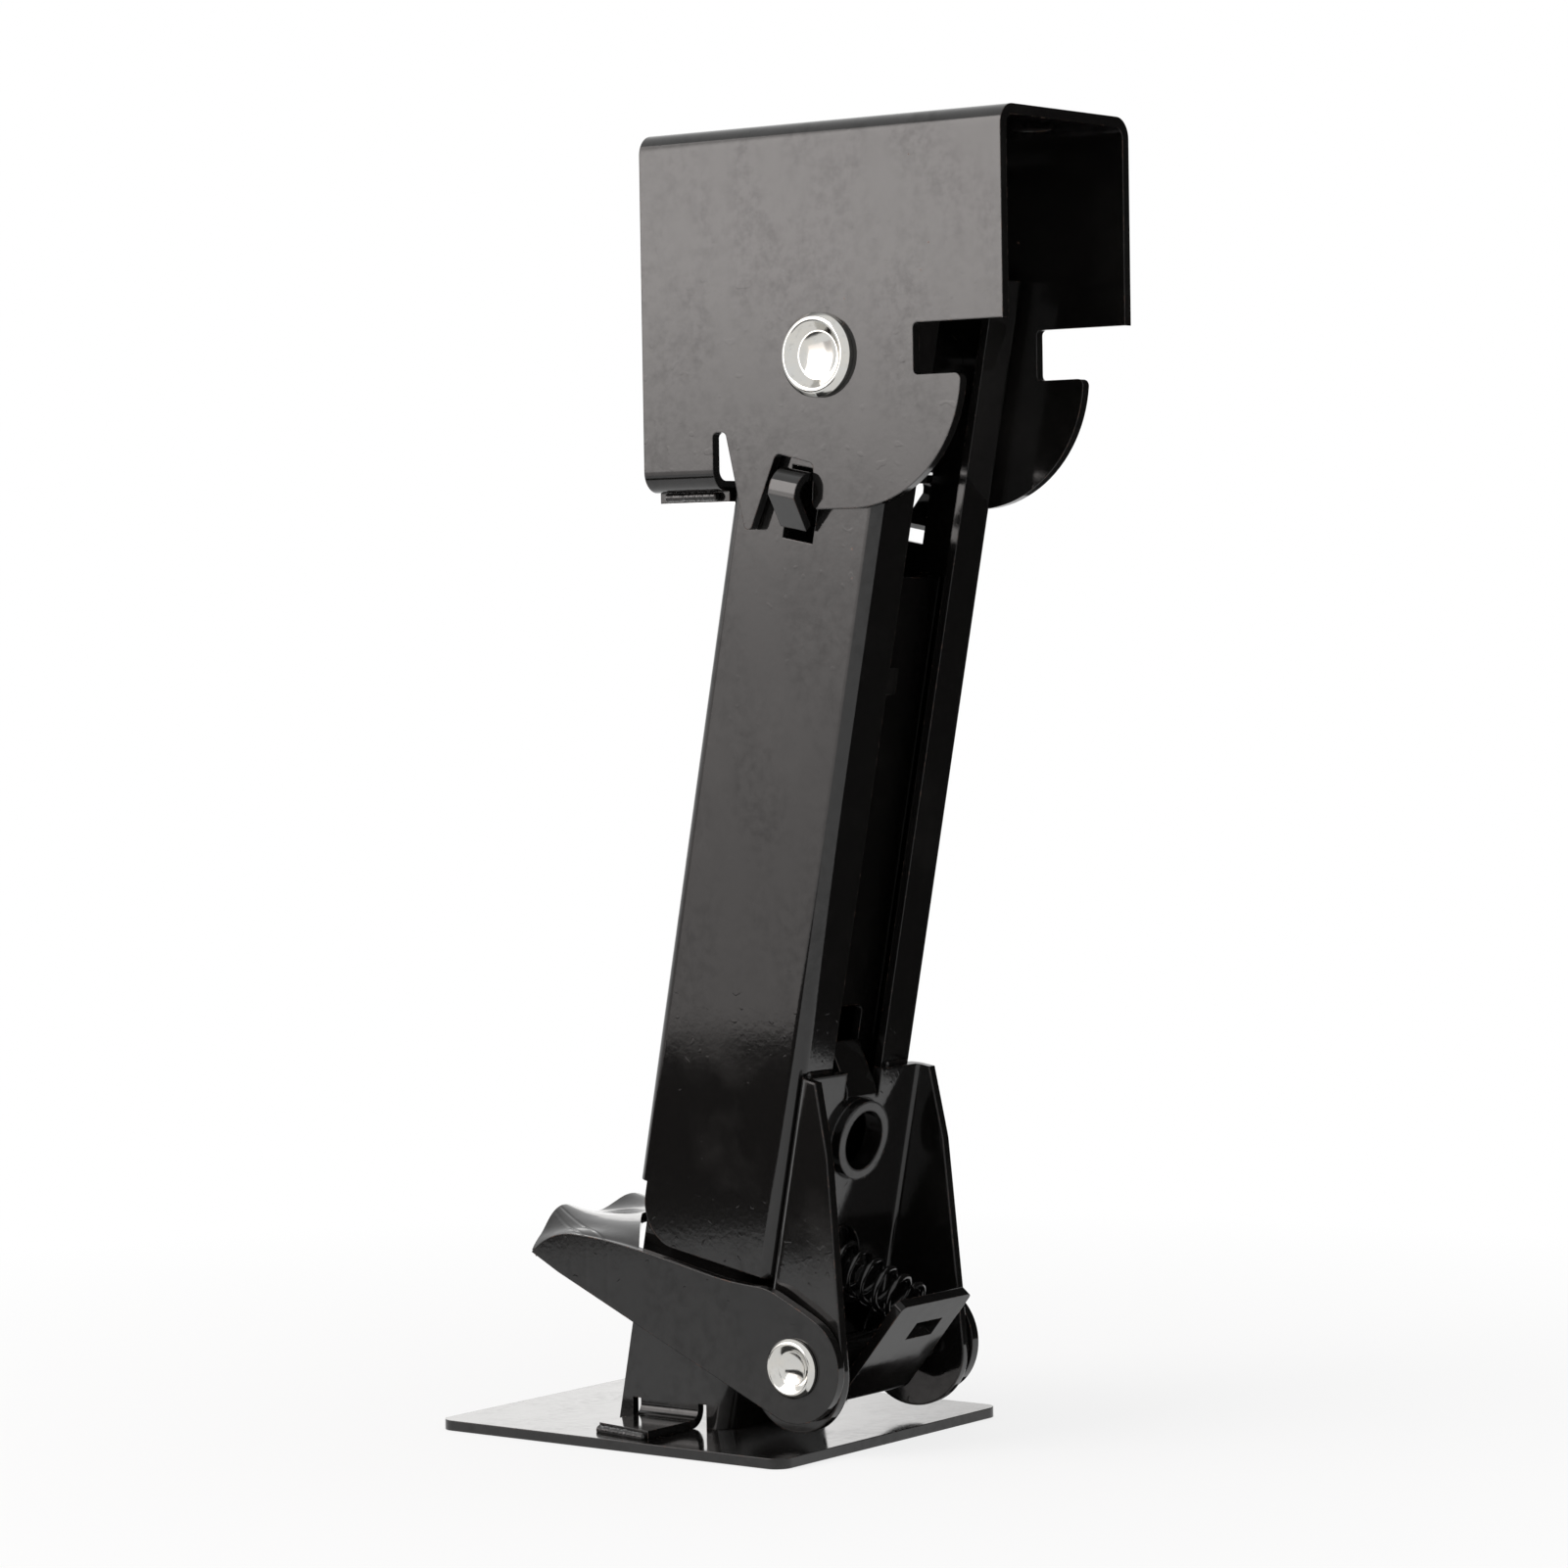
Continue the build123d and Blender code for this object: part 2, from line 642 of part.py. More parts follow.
def pawl():
    """The pawl plate with its barrel on the pin, its window and its nose against the inner leg."""
    off = barrel_radius - running_fit + pawl_sheet / 2
    nose = (inner_front + nose_clearance, -nose_below)
    top = pawl_point(pawl_rise, off)
    points = [top, pawl_point(-pawl_bend_down, off), nose]
    plate = slab(bent_sheet(points, pawl_bend, pawl_sheet), -pawl_width / 2, pawl_width / 2)
    for side in (-1, 1):
        corner = plate.edges().sort_by_distance((top[0], side * pawl_width / 2, top[1]))[0]
        plate = fillet(corner, pawl_corner)
    trim_width = (pawl_width - pawl_nose_width) / 2
    trim = Box(2 * pawl_nose_length, 2 * trim_width, 2 * pawl_nose_height)
    plate -= both_sides(Pos(inner_front, pawl_width / 2, -nose_below) * trim)
    window_x, window_z = pawl_point(pawl_window_up, off)
    window = Box(3 * pawl_sheet, pawl_window_width, pawl_window_height)
    plate -= Pos(window_x, pawl_window_aside, window_z) * Rot(0, pawl_lean, 0) * window
    body = plate + across(pin_ahead, -pin_below, barrel_radius, ear_inside - barrel_end_gap)
    body -= across(pin_ahead, -pin_below, pin_shank / 2 + running_fit, half_carrier)
    return on_leg(body)


def coil(outer, wire, length, pitch):
    """A spring standing on the origin along Z, of wire with wire_sides flats and a round wire's area."""
    rise = length - wire
    path = Helix(pitch=pitch, height=rise, radius=(outer - wire) / 2)
    turn = radians(180 / wire_sides)
    same_area = ((radians(180) / wire_sides) / (sin(turn) * cos(turn))) ** 0.5
    section = Plane(origin=path @ 0, z_dir=path % 0) * RegularPolygon(wire / 2 * same_area, wire_sides)
    return Pos(0, 0, wire / 2) * sweep(section, path=path)


def pawl_spring_line():
    """Where the pawl's spring starts on its peg, its length to the pawl and its fall, in leg places."""
    end_x, end_z = pawl_point(spring_at, barrel_radius)
    run = end_x - outer_front
    drop = -spring_below - end_z
    fall = atan(drop / run)
    place = Pos(outer_front, 0, -spring_below) * Rot(0, 90 + degrees(fall), 0)
    return place, hypot(run, drop), fall


def pawl_spring():
    """The coil that pushes the pawl's top away from the leg."""
    place, span, fall = pawl_spring_line()
    start = seat_gap + spring_outer / 2 * tan(fall)
    finish = seat_gap + spring_outer / 2 * tan(radians(pawl_lean) - fall)
    spring = coil(spring_outer, spring_wire, span - start - finish, spring_pitch)
    return on_leg(place * Pos(0, 0, start) * spring)


def spring_peg():
    """The flanged peg behind the carrier's web that holds the spring's end in the web's hole."""
    place, _, _ = pawl_spring_line()
    stem = Pos(0, 0, (peg_length - peg_flange_thickness) / 2)
    stem *= Cylinder(peg_diameter / 2, peg_length + peg_flange_thickness)
    stem = place * chamfer(stem.edges().sort_by(Axis.Z)[-1], peg_chamfer)
    half = peg_flange_thickness / 2
    to_flange = Pos(outer_front - half, 0, -spring_below) * Rot(0, 90, 0)
    flange = to_flange * Cylinder(peg_flange / 2, peg_flange_thickness)
    ahead = Pos(outer_front + peg_length - half, 0, -spring_below)
    ahead *= Box(2 * peg_length, peg_flange, peg_flange)
    return on_leg(flange + (stem & ahead))


def latch_strap():
    """The sprung strap across the leg, with a finger tab folded down outside each cheek."""
    middle = -latch_below - latch_sheet / 2
    crease = middle - latch_shoulder
    tab_in = half_outer + latch_tab_gap + latch_sheet / 2
    points = [
        (-tab_in, crease - latch_tab),
        (-latch_reach, crease),
        (-latch_reach, middle),
        (latch_reach, middle),
        (latch_reach, crease),
        (tab_in, crease - latch_tab),
    ]
    section = bent_sheet(points, [0, latch_bend, latch_bend, 0], latch_sheet)
    strap = Pos(-latch_back, 0, 0) * extrude(Plane.YZ * section, amount=latch_back + latch_front)
    return on_leg(strap)


def latch_spring():
    """The coil between the pivot's spacer and the strap that pulls the latch home."""
    spacer_radius = pivot_shank / 2 + running_fit + pivot_spacer_wall
    top = -spacer_radius - seat_gap
    bottom = -latch_below + seat_gap
    spring = coil(latch_spring_outer, latch_spring_wire, top - bottom, latch_spring_pitch)
    return on_leg(Pos((latch_front - latch_back) / 2, 0, bottom) * spring)


def write(name, shape):
    """Write one sub-part, with its solids side by side when it has several."""
    solids = shape if isinstance(shape, list) else list(shape.solids())
    whole = solids[0] if len(solids) == 1 else Compound(children=solids)
    export_step(whole, f"parts/{name}.step")


def main():
    os.makedirs("parts", exist_ok=True)
    write("mounting_bracket", mounting_bracket())
    write("flange_weld", flange_weld())
    write("pivot_rivet", pivot_rivet())
    write("pivot_washers", pivot_washers())
    write("pivot_spacer", pivot_spacer())
    write("outer_leg", outer_leg())
    write("inner_leg", inner_leg())
    write("foot_plate", foot_plate())
    write("foot_welds", foot_welds())
    write("carrier", carrier())
    write("carrier_welds", carrier_welds())
    write("pin_rivet", pin_rivet())
    write("pedal", pedal())
    write("pawl", pawl())
    write("pawl_spring", pawl_spring())
    write("spring_peg", spring_peg())
    write("latch_strap", latch_strap())
    write("latch_spring", latch_spring())


main()
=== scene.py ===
# %% [markdown]
# # A drop-leg stabilizer jack
# The jack folds down from the frame of a caravan or trailer and steadies it. A pressed bracket
# bolts up under the frame, a leg of folded sheet hangs from it on one thick rivet, an inner leg
# slides out of the outer one, and a foot pedal drives a pawl into the inner leg's slots.
# The shapes of the sheet metal come from the CAD model, which this file never changes. What it
# adds is everything that makes those shapes look like a painted, riveted and welded jack: gloss
# black paint with its orange peel, plated rivets, wound springs and rippled weld beads.

import random
from math import ceil, pi, radians

import bmesh
import bpy
from mathutils import Matrix, Vector


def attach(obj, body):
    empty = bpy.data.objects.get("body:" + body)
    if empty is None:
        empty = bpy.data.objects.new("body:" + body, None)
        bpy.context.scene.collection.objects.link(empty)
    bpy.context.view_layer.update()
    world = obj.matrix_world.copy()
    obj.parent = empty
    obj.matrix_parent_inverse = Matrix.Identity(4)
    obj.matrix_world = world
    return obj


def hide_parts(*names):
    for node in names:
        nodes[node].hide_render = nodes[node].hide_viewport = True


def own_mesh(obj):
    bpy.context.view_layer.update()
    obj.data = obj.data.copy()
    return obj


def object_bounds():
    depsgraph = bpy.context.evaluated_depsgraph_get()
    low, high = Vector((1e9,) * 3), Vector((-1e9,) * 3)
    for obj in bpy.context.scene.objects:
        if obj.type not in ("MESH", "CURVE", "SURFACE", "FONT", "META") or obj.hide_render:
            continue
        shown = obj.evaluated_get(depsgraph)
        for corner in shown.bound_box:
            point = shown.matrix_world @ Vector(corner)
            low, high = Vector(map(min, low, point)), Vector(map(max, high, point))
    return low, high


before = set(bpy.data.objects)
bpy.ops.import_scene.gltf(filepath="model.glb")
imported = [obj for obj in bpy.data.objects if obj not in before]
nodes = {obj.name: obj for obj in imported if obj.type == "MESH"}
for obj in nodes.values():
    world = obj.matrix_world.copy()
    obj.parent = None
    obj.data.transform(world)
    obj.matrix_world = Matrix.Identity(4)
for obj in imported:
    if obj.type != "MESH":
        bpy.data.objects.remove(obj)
cad_low, cad_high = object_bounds()

# %% [markdown]
# ## Where the camera stands
# The photograph was taken from a little over a metre away with a long lens, so upright edges
# stay nearly parallel. A camera can be placed by typing its location and turning it by eye, but a
# camera that is worked out from an azimuth, a pitch and a roll is easier to compare with the
# photograph, because each of the three turns moves the picture in its own way.

# %% Camera
camera_place = Vector((0.87448, -1.11027, 0.24156))
camera_azimuth = radians(37.33)
camera_pitch = radians(-2.09)
camera_roll = radians(-0.91)
picture_pixels = 1601
focal_pixels = 4868.88
sensor_width = 36.0

lens = bpy.data.cameras.new("photo_lens")
lens.sensor_width = sensor_width
lens.lens = focal_pixels / picture_pixels * sensor_width
lens.clip_start, lens.clip_end = 0.05, 50.0
camera = bpy.data.objects.new("photo_camera", lens)
bpy.context.scene.collection.objects.link(camera)
turn = Matrix.Rotation(camera_azimuth, 4, "Z") @ Matrix.Rotation(pi / 2 + camera_pitch, 4, "X")
camera.matrix_world = Matrix.Translation(camera_place) @ turn @ Matrix.Rotation(camera_roll, 4, "Z")
bpy.context.scene.camera = camera
jack_distance = (camera_place - (cad_low + cad_high) / 2).length
print(f"lens {lens.lens:.1f} mm, {jack_distance:.2f} m from the jack")

# %% [markdown]
# ## Writing materials as sums
# A Blender material is a graph of nodes. Wiring it in the Shader Editor is quick for one or two
# nodes, and tiring for twenty. Here one small class stands for a wire in that graph, and gives it
# Python's + - *, so a mask can be written as the sum it really is.

# %% Wires
class Wire:
    """An output socket that can be added, taken away and multiplied like a number."""

    def __init__(self, graph, socket):
        self.graph = graph
        self.socket = socket

    def maths(self, operation, *others, turned=False):
        values = [*others, self] if turned else [self, *others]
        return self.graph.node("ShaderNodeMath", {"operation": operation}, dict(enumerate(values)))

    def __add__(self, other):
        return self.maths("ADD", other)

    def __sub__(self, other):
        return self.maths("SUBTRACT", other)

    def __rsub__(self, other):
        return self.maths("SUBTRACT", other, turned=True)

    def __mul__(self, other):
        return self.maths("MULTIPLY", other)

    __radd__ = __add__
    __rmul__ = __mul__

    def between(self, low, high):
        """0 up to low, 1 from high on, and a straight slope between them."""
        sockets = {"Value": self, "From Min": low, "From Max": high}
        return self.graph.node("ShaderNodeMapRange", {"clamp": True}, sockets)


# %% [markdown]
# ## Every other node
# The nodes that aren't sums are added by a second class. It could have a method for each kind of
# node, but one method does for all of them: it takes the node's type, its settings and what goes
# into its sockets. A material has such a graph, and so has the world.

# %% Graphs
class Graph:
    """The nodes of a material or of the world, under construction."""

    def __init__(self, owner):
        self.owner = owner
        self.owner.use_nodes = True
        self.tree = owner.node_tree
        self.tree.nodes.clear()

    def node(self, kind, settings=None, sockets=None, out=0):
        """Add any node, with its settings and the wires or values of its sockets."""
        made = self.tree.nodes.new(kind)
        for name, value in (settings or {}).items():
            setattr(made, name, value)
        for name, value in (sockets or {}).items():
            if isinstance(value, Wire):
                self.tree.links.new(value.socket, made.inputs[name])
            else:
                made.inputs[name].default_value = value
        return Wire(self, made.outputs[out])

    def emission(self, colour, strength):
        return self.node("ShaderNodeEmission", {}, {"Color": colour, "Strength": strength})

    def looked_at(self):
        """1 for what is seen, also in a mirror or through glass, and 0 for what lights the jack."""
        kinds = ("Camera", "Glossy", "Transmission")
        camera, mirror, glass = [self.node("ShaderNodeLightPath", out=f"Is {kind} Ray") for kind in kinds]
        return camera.maths("MAXIMUM", mirror).maths("MAXIMUM", glass)

    def end(self, shader, kind="ShaderNodeOutputMaterial"):
        """Join the last shader to the graph's output, and give back the graph's owner."""
        output = self.tree.nodes.new(kind)
        self.tree.links.new(shader.socket, output.inputs["Surface"])
        return self.owner


# %% [markdown]
# ## Patterns for paint and metal
# A finish is a material whose graph knows the patterns that the jack needs: soft patches, blends of
# two colours, worn edges and relief. Bent and cut sheet has no perfectly sharp edge. Modelling
# each small radius would take many faces, and the Bevel node shows one without any. Every pattern
# is laid out in metres on the piece itself, so it stays in place when the piece moves.

# %% Finishes
# The Mix node has sockets for every kind of value. These are the ones for colours.
first_colour, second_colour, mixed_colour = 6, 7, 2
bevel_samples = 6
flat_turn, sharp_turn = 0.004, 0.12


class Finish(Graph):
    """A material, with the patterns that paint and metal need."""

    def __init__(self, name):
        super().__init__(bpy.data.materials.new(name))

    def place(self):
        """The point on the piece, in metres from the middle of the jack's foot."""
        return self.node("ShaderNodeTexCoord", out="Object")

    def measure(self, operation, *vectors):
        """A number that is worked out from vectors, such as a length or a distance."""
        settings = {"operation": operation}
        return self.node("ShaderNodeVectorMath", settings, dict(enumerate(vectors)), out="Value")

    def along(self, direction):
        """How far the point on the piece lies along a direction, in metres."""
        return self.measure("DOT_PRODUCT", self.place(), direction)

    def noise(self, size, detail=2.0, roughness=0.5, stretch=None):
        """Soft random patches from 0 to 1. size is how far apart they are, in metres."""
        where = self.place()
        if stretch:
            where = self.node("ShaderNodeMapping", {}, {"Vector": where, "Scale": stretch})
        sockets = {"Vector": where, "Scale": 1 / size, "Detail": detail, "Roughness": roughness}
        return self.node("ShaderNodeTexNoise", {}, sockets)

    def blend(self, mask, first, second):
        """One colour where the mask is 0 and the other where it is 1."""
        sockets = {"Factor": mask, first_colour: first, second_colour: second}
        return self.node("ShaderNodeMix", {"data_type": "RGBA"}, sockets, out=mixed_colour)

    def rounded_normal(self, radius):
        """The surface's direction as if every sharp edge had been softened."""
        return self.node("ShaderNodeBevel", {"samples": bevel_samples}, {"Radius": radius})

    def edges(self, radius):
        """1 on sharp edges and 0 on the flats between them."""
        flat = self.node("ShaderNodeNewGeometry", out="True Normal")
        match = self.measure("DOT_PRODUCT", self.rounded_normal(radius), flat)
        return (1 - match).between(flat_turn, sharp_turn)

    def relief(self, height, edge_radius):
        """Bumps of a height given in metres, on top of softened edges."""
        sockets = {"Height": height, "Distance": 1.0, "Normal": self.rounded_normal(edge_radius)}
        return self.node("ShaderNodeBump", {}, sockets)

    def surface(self, **sockets):
        """Give the material its shader. Its sockets are named with _ for a space."""
        named = {name.replace("_", " "): value for name, value in sockets.items()}
        return self.end(self.node("ShaderNodeBsdfPrincipled", {}, named))


# %% [markdown]
# ## Gloss black paint
# The jack is dipped or sprayed in one coat of gloss black. Such paint is not a mirror: it dries
# with a fine orange peel, it lies in long soft waves over rolled sheet, and handling leaves dull
# smudges. A plain black with low roughness would look like glass. The height of the peel is only
# about a hundredth of a millimetre, which is enough to break up a reflection. Where the paint is
# thin, on sharp edges and at a few knocks, a little brown steel shows.

# %% Black paint
rust_colour = (0.1, 0.048, 0.03, 1.0)
paint_colour = (0.0056, 0.0053, 0.0051, 1.0)
dusty_colour = (0.019, 0.018, 0.017, 1.0)
crease_half_width = 0.0007
crease_depth = 0.00022
bare_edge_radius = 0.0006
chip_core, chip_softness, chip_strength = 0.2, 0.5, 0.7
wave_share = 0.4
dust_share = 0.6
smudge_dulls, grain_dulls, bare_dulls = 0.1, 0.05, 0.5
mean_grain = 0.02
coat_weight = 0.22
specular_level = 0.42


def crease(paint, start, end):
    """The depth of a groove that the press left between two points, seen from above."""
    run = (end - start).normalized()
    aside = Vector((-run.y, run.x, 0.0))
    off = (paint.along(aside) - start.dot(aside)).maths("ABSOLUTE")
    along = paint.along(run)
    after_start = (along - start.dot(run)).between(-0.002, 0.002)
    before_end = (end.dot(run) - along).between(-0.003, 0.003)
    return (1 - off.between(0.0, crease_half_width)) * (after_start * before_end) * crease_depth


def chip(paint, grain, spot, radius):
    """1 within a ragged radius of a spot, and 0 outside it."""
    off = paint.measure("DISTANCE", paint.place(), spot)
    return (grain * radius + radius * chip_core - off).between(0.0, radius * chip_softness)


def black_paint(
    name, peel_height=1.1e-5, roughness=0.08, edge_rust=0.6, edge_radius=0.0005,
    gloss=1.0, chips=(), creases=(),
):
    """Gloss black with orange peel, smudges, bare edges, and chips and creases at known places."""
    paint = Finish(name)
    peel = paint.noise(0.0015, detail=1.5)
    waves = paint.noise(0.03, detail=1.0)
    pimples = paint.noise(0.0026, detail=0.0).between(0.75, 0.81)
    height = (peel + waves * wave_share + pimples) * peel_height
    for start, end in creases:
        height = height - crease(paint, start, end)

    smudge = paint.noise(0.035, detail=4.0, roughness=0.62).between(0.5, 0.78)
    grain = paint.noise(0.0006, detail=1.0)
    cloud = paint.noise(0.03, detail=2.0, stretch=(1.6, 1.0, 0.7)).between(0.36, 0.6)
    mottle = paint.noise(0.0034, detail=4.0, roughness=0.7).between(0.42, 0.66) * cloud
    patches = paint.noise(0.003, detail=5.0, roughness=0.75).between(0.53, 0.6)
    bare = paint.edges(bare_edge_radius) * patches * edge_rust
    for spot, radius in chips:
        bare = bare.maths("MAXIMUM", chip(paint, grain, spot, radius) * chip_strength)

    colour = paint.blend(smudge * dust_share, paint_colour, dusty_colour)
    dulled = smudge * smudge_dulls + grain * grain_dulls + bare * bare_dulls
    coat = coat_weight * gloss
    return paint.surface(
        Base_Color=paint.blend(bare, colour, rust_colour),
        Roughness=dulled + (roughness - mean_grain),
        Normal=paint.relief(height, edge_radius),
        IOR=1.5,
        Specular_IOR_Level=specular_level * gloss,
        Coat_Weight=coat - mottle * coat,
        Coat_Roughness=0.08,
    )


# %% [markdown]
# ## A coat for each piece
# Every piece has the same paint, but not the same wear. The bracket and the outer leg have small
# chips at known places, so each gets a material of its own. The press left two creases on each
# side of the pedal's tread, which are too fine to model and are carved into its paint as relief.
# The pawl and the pedal mirror less than the rest. This is painted shade: their dimmer sheen stands in for
# the darker surroundings they mirror low down by the foot. The carrier's edges are rounder.

# %% Painted pieces
near_cheek, far_cheek_inside, near_leg_side = -0.032, 0.029, -0.028
bracket_chips = [
    ((0.0991, near_cheek, 0.3673), 0.0004),
    ((0.1054, near_cheek, 0.3426), 0.0005),
    ((0.1026, near_cheek, 0.3352), 0.0005),
    ((0.0761, near_cheek, 0.3285), 0.0005),
    ((0.0759, near_cheek, 0.3216), 0.0004),
    ((0.0937, far_cheek_inside, 0.3462), 0.0008),
]
leg_chips = [((0.0745, near_leg_side, 0.2585), 0.0006), ((0.0743, near_leg_side, 0.2502), 0.0005)]
tread_end, tread_side = -0.0449, 0.0340
press_creases = [
    (Vector((tread_end, side * inner, 0.0)), Vector((outer, side * tread_side, 0.0)))
    for inner, outer in [(0.0212, -0.0229), (0.0184, -0.0149)]
    for side in (-1, 1)
]

gloss_black = black_paint("gloss_black_paint")
carrier_black = black_paint("carrier_black_paint", edge_radius=0.001)
bracket_black = black_paint("bracket_black_paint", chips=bracket_chips)
leg_black = black_paint("leg_black_paint", chips=leg_chips)
# Lower gloss on the pedal and the pawl is painted shade, a dimmer sheen for the parts low down by the
# foot.
pedal_shaded_black = black_paint("pedal_shaded_black_paint", edge_rust=1.0, gloss=0.86, creases=press_creases)
pawl_shaded_black = black_paint("pawl_shaded_black_paint", gloss=0.46)
print(f"{len(bracket_chips) + len(leg_chips)} chips, {len(press_creases)} creases")

# %% [markdown]
# ## Zinc plate and dipped springs
# The two rivets are bright zinc: a metal, so its base colour is what it reflects. Plating is
# never even, so the colour drifts between a cool and a warm grey and the roughness drifts with it.
# The springs look like dark metal, but they are dipped in the same black as the rest. On thin wire
# it has no room for orange peel, so theirs is about ten times lower.

# %% Plated rivets and black springs
stain_colour = (0.3, 0.29, 0.27, 1.0)
stain_share = 0.35
drift_dulls, stain_dulls = 0.1, 0.12
scratch_height = 1.2e-6
dent_height = 2.4e-5
plated_edge_radius = 0.0003


def plated(name, cool, warm, roughness):
    """A metal whose colour and polish drift over the surface."""
    metal = Finish(name)
    drift = metal.noise(0.006, detail=3.0, roughness=0.6)
    stain = metal.noise(0.0016, detail=3.0, roughness=0.7).between(0.55, 0.8)
    scratches = metal.noise(0.0008, detail=2.0, stretch=(1.0, 1.0, 0.12))
    dents = metal.noise(0.0032, detail=1.0)
    colour = metal.blend(drift, cool, warm)
    return metal.surface(
        Base_Color=metal.blend(stain * stain_share, colour, stain_colour),
        Metallic=1.0,
        Roughness=drift * drift_dulls + stain * stain_dulls + roughness,
        Normal=metal.relief(scratches * scratch_height + dents * dent_height, plated_edge_radius),
    )


zinc = plated("zinc_plate", cool=(0.56, 0.58, 0.59, 1.0), warm=(0.66, 0.62, 0.55, 1.0), roughness=0.06)
spring_black = black_paint("black_dipped_spring", peel_height=1e-6, roughness=0.1, edge_rust=0.0)

own_finishes = {
    "pivot_rivet": zinc,
    "pin_rivet": zinc,
    "pivot_washers": zinc,
    "pawl_spring": spring_black,
    "latch_spring": spring_black,
    "carrier": carrier_black,
    "mounting_bracket": bracket_black,
    "outer_leg": leg_black,
    "pedal": pedal_shaded_black,
    "pawl": pawl_shaded_black,
}
for name, node in nodes.items():
    node.data.materials.clear()
    node.data.materials.append(own_finishes.get(name, gloss_black))
print(f"{len(own_finishes)} nodes have a finish of their own, the others are plain gloss black")

# %% [markdown]
# ## Making a piece by hand
# A few of the CAD model's nodes are only the plain idea of a piece: springs with a coarse wire,
# rivets with a simple head and welds like straight rods. Each is modelled again here. The steps
# are the same as in the window: add a primitive, shape it in edit mode, and let a modifier finish
# it. In a script nothing may be left selected by accident, so the helpers always clear the
# selection.

# %% Hand tools
smooth_under = radians(38)


def only(*pieces):
    """Select these objects and nothing else, with the first one active."""
    bpy.ops.object.select_all(action="DESELECT")
    for piece in pieces:
        piece.select_set(True)
    bpy.context.view_layer.objects.active = pieces[0]


def add(operator, name, **how):
    """Add a primitive, and move its place and size into its mesh."""
    bpy.ops.object.select_all(action="DESELECT")
    operator(**how)
    piece = bpy.context.object
    piece.name = piece.data.name = name
    bpy.ops.object.transform_apply(location=True, rotation=True, scale=True)
    return piece


def finish_with(piece, kind, **settings):
    """Put a modifier on a piece and apply it."""
    only(piece)
    modifier = piece.modifiers.new(kind.lower(), kind)
    for name, value in settings.items():
        setattr(modifier, name, value)
    bpy.ops.object.modifier_apply(modifier=modifier.name)


def pick(piece, wanted):
    """In edit mode, select the faces that answer a question and no others."""
    mesh = bmesh.from_edit_mesh(piece.data)
    for face in mesh.faces:
        face.select_set(False)
    for face in mesh.faces:
        if wanted(face):
            face.select_set(True)
    bmesh.update_edit_mesh(piece.data)


def joined(name, pieces):
    """Make several pieces one."""
    only(*pieces)
    bpy.ops.object.join()
    bpy.context.object.name = name
    return bpy.context.object


def dress(piece, finish, slot, body, *replaced):
    """Give a finished piece its material, its body and the CAD nodes that it stands for."""
    piece.data.materials.clear()
    piece.data.materials.append(finish)
    only(piece)
    bpy.ops.object.shade_smooth_by_angle(angle=smooth_under)
    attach(piece, body)
    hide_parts(*replaced)
    print(f"{piece.name}: {len(piece.data.polygons)} faces")


# %% [markdown]
# ## Springs of round wire
# A spring is one round section carried along a helix. It could be a curve with a bevel, but the
# Screw modifier does it from a plain circle, and its settings are the ones that a spring maker
# gives: how far the wire rises in each turn and how many turns there are. Both springs are wound
# standing on the origin, and then laid along their line on the leaning leg.

# %% Wind a spring
wire_sides = 14
steps_in_a_turn = 26


def wound_spring(name, outer, wire, length, pitch, place):
    """A coil of round wire with closed ends, standing on a place along its Z."""
    middle = (outer - wire) / 2
    spring = add(
        bpy.ops.mesh.primitive_circle_add, name,
        vertices=wire_sides, radius=wire / 2, location=(middle, 0, wire / 2), rotation=(pi / 2, 0, 0),
    )
    rise = length - wire
    turns = rise / pitch
    steps = ceil(steps_in_a_turn * turns)
    finish_with(spring, "SCREW", angle=2 * pi * turns, screw_offset=rise, steps=steps, render_steps=steps)
    bpy.ops.object.mode_set(mode="EDIT")
    bpy.ops.mesh.select_all(action="SELECT")
    bpy.ops.mesh.remove_doubles(threshold=1e-6)
    bpy.ops.mesh.fill_holes(sides=0)
    bpy.ops.mesh.normals_make_consistent(inside=False)
    bpy.ops.object.mode_set(mode="OBJECT")
    spring.data.transform(place)
    print(f"{name}: {turns:.1f} turns of {wire * 1000:.1f} mm wire")
    return spring


# %% [markdown]
# ## The jack's two springs
# The pawl's spring pushes the pawl away from the leg. It stands on a flanged peg, nearly square to the
# leg, and is squeezed when the pedal goes down. The latch's spring is thin and tightly wound, and hangs
# inside the leg.

# %% Pawl spring and latch spring
pivot = Vector((0.067, 0.0, 0.3132))
leg_lean = radians(11.1)
leg_place = Matrix.Translation(pivot) @ Matrix.Rotation(leg_lean, 4, "Y")

peg_on_leg = Matrix.Translation((0.0255, 0, -0.2602))
peg_tilt = Matrix.Rotation(radians(90 + 11.81), 4, "Y")
peg_line = peg_on_leg @ peg_tilt
above_flange = Matrix.Translation((0, 0, 0.001706))
pawl_spring_place = leg_place @ peg_line @ above_flange
pawl_spring = wound_spring(
    "round_pawl_spring", outer=0.0144, wire=0.002, length=0.03097, pitch=0.0052, place=pawl_spring_place,
)
dress(pawl_spring, spring_black, "spring_steel", "leg", "pawl_spring")
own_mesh(pawl_spring)

latch_spring_place = leg_place @ Matrix.Translation((-0.00145, 0, -0.0328))
latch_spring = wound_spring(
    "round_latch_spring", outer=0.0082, wire=0.0012, length=0.0235, pitch=0.0022, place=latch_spring_place,
)
dress(latch_spring, spring_black, "spring_steel", "leg", "latch_spring")

# %% [markdown]
# ## Rivets with a rolled rim
# Each rivet is a soft steel pin whose ends were rolled outwards by a turning tool. That leaves a
# raised round rim with a dish inside it, and a pointed hollow in the middle. The rim catches the
# light and the dish breaks it up, so the profile matters more than the plating. A lathe profile
# would do it too. Insetting one end of a cylinder again and again, each time a little deeper or
# higher, gives the same rings without working out a single point.

# %% Roll the rivets
rivet_sides = 72
rim_round = 0.012
rim_steps = 3
rim_angle = radians(24)


